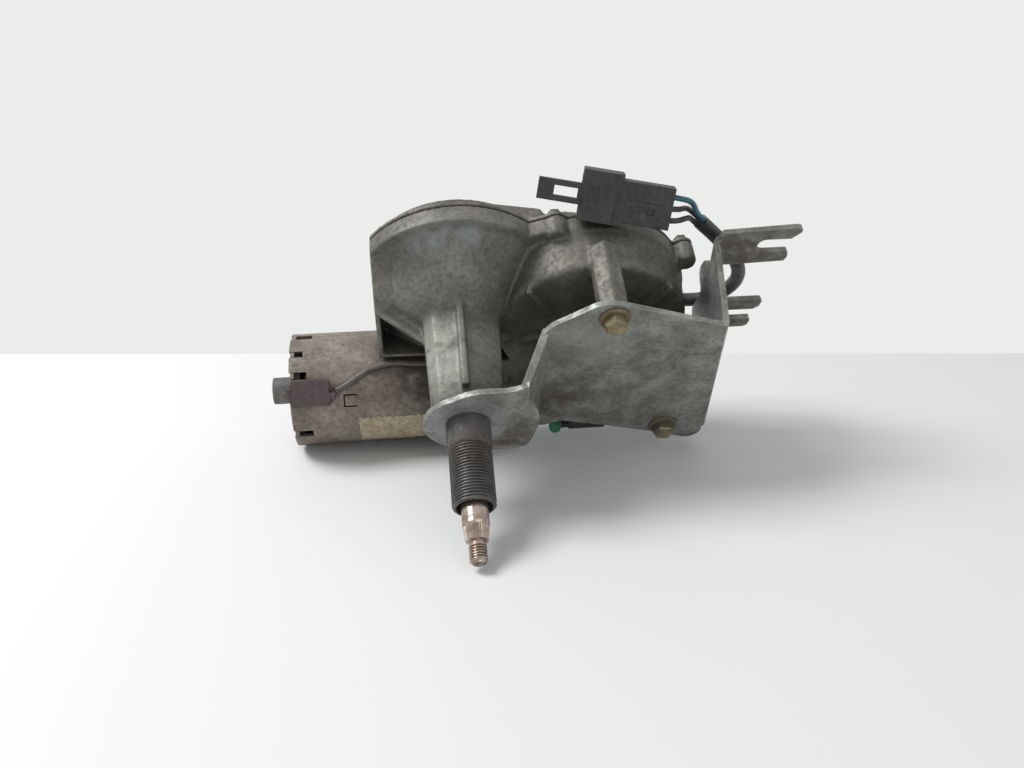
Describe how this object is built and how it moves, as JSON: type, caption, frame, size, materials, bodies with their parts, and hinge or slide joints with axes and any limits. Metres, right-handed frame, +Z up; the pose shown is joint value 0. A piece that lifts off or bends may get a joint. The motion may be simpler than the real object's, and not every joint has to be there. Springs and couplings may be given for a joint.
{
  "type": "rear wiper motor",
  "caption": "Geared wiper motor with worm drive, reversing sector output, threaded spindle sleeve, steel mounting bracket with forked tabs, and a short wiring tail with a plug.",
  "frame": {"origin": "where the spindle axis crosses the outer face of the bracket's ear, at the root of the spindle sleeve", "axes": "+X along the motor shaft from the can towards the forked tabs, +Z up as the motor lies on a bench, the spindle pointing forwards and down at 35 degrees towards -Y"},
  "size_m": [0.2682, 0.1803, 0.1522],
  "materials": {
    "black_plastic": "moulded, aged",
    "black_rubber": "moulded rubber",
    "blue_pvc": "wire insulation",
    "bolt_steel": "yellow passivated zinc",
    "bright_steel": "turned steel",
    "brown_plastic": "moulded",
    "brown_pvc": "wire insulation",
    "bush_bronze": "sintered bronze",
    "can_steel": "drawn steel, dull zinc",
    "carbon": "pressed carbon",
    "cast_alloy": "pressure die cast, sand blasted",
    "contact_brass": "stamped brass",
    "core_steel": "stacked sheet",
    "cover_steel": "pressed sheet, dull plate",
    "ferrite": "sintered",
    "gasket_paper": "pressed fibre",
    "green_plastic": "moulded",
    "label_paper": "worn foil paper, blank",
    "nylon_wheel": "natural polyamide",
    "sleeve_pvc": "soft sleeving",
    "winding_copper": "enamelled copper wire",
    "zinc_steel": "dull zinc plate with rust stain"
  },
  "bodies": {
    "base": {"bracket": "zinc_steel", "bracket_bolts": "bolt_steel", "breather_body": "green_plastic", "breather_cap": "black_plastic", "brush_holder": "black_plastic", "brush_springs": "bright_steel", "brushes": "carbon", "case_cover": "cover_steel", "connector_housing": "black_plastic", "connector_terminals": "contact_brass", "contact_fingers": "contact_brass", "contact_plate": "black_plastic", "cover_gasket": "gasket_paper", "cover_screws": "bolt_steel", "drive_end_bush": "bush_bronze", "end_bush": "bush_bronze", "end_float_screw": "bright_steel", "end_plate": "can_steel", "field_magnets": "ferrite", "gear_case": "cast_alloy", "lead_grommet": "black_rubber", "loom_grommet": "black_rubber", "loom_sleeve": "sleeve_pvc", "motor_can": "can_steel", "sector_clip": "bright_steel", "sector_pin": "bright_steel", "sector_spacer": "bright_steel", "sleeve_seat_ring": "bright_steel", "spindle_bush_inner": "bush_bronze", "spindle_bush_outer": "bush_bronze", "spindle_seal": "black_rubber", "spindle_washer": "bright_steel", "suppressor_lead": "sleeve_pvc", "suppressor_plug": "brown_plastic", "terminal_block": "black_plastic", "terminal_carrier": "black_plastic", "threaded_sleeve": "bright_steel", "thrust_ball": "bright_steel", "type_label": "label_paper", "wire_black": "sleeve_pvc", "wire_blue": "blue_pvc", "wire_brown": "brown_pvc", "worm_end_bush": "bush_bronze"},
    "armature": {"armature_shaft": "bright_steel", "worm": "bright_steel", "armature_core": "core_steel", "windings": "winding_copper", "insulator_sleeves": "black_plastic", "commutator": "contact_brass"},
    "wheel": {"worm_wheel": "nylon_wheel", "crank_pin": "bright_steel", "contact_disc": "contact_brass", "wheel_arbor": "bright_steel", "wheel_clip": "bright_steel"},
    "output": {"output_shaft": "bright_steel", "output_pinion": "bright_steel", "spindle_circlip": "bright_steel"},
    "sector": {"sector_gear": "bright_steel", "arm_rivet": "bright_steel"},
    "rod": {"connecting_rod": "bright_steel"}
  },
  "joints": [
    {"name": "armature_spin", "type": "hinge", "parent": "base", "child": "armature", "pos_m": [0, 0.09044, -0.01236], "axis": [1, 0, 0], "continuous": true},
    {"name": "wheel_turn", "type": "hinge", "parent": "base", "child": "wheel", "pos_m": [0.0663, 0.0632, 0.02655], "axis": [0, -0.8192, -0.5736], "continuous": true},
    {"name": "spindle_sweep", "type": "hinge", "parent": "base", "child": "output", "pos_m": [0, 0, 0], "axis": [0, -0.8192, -0.5736], "range_deg": [-55, 55]},
    {"name": "sector_swing", "type": "hinge", "parent": "base", "child": "sector", "pos_m": [0, 0.0566, 0.07015], "axis": [0, -0.8192, -0.5736], "range_deg": [-29.62, 29.62]},
    {"name": "rod_hinge", "type": "hinge", "parent": "sector", "child": "rod", "pos_m": [0.00848, 0.05525, 0.07957], "axis": [0, -0.8192, -0.5736], "range_deg": [-29.62, 29.62]}
  ],
  "couplings": [
    {"joint": "wheel_turn", "follows": "armature_spin", "ratio": -0.018519},
    {"joint": "sector_swing", "follows": "spindle_sweep", "ratio": -0.53846},
    {"joint": "rod_hinge", "follows": "spindle_sweep", "ratio": 0.53846}
  ]
}
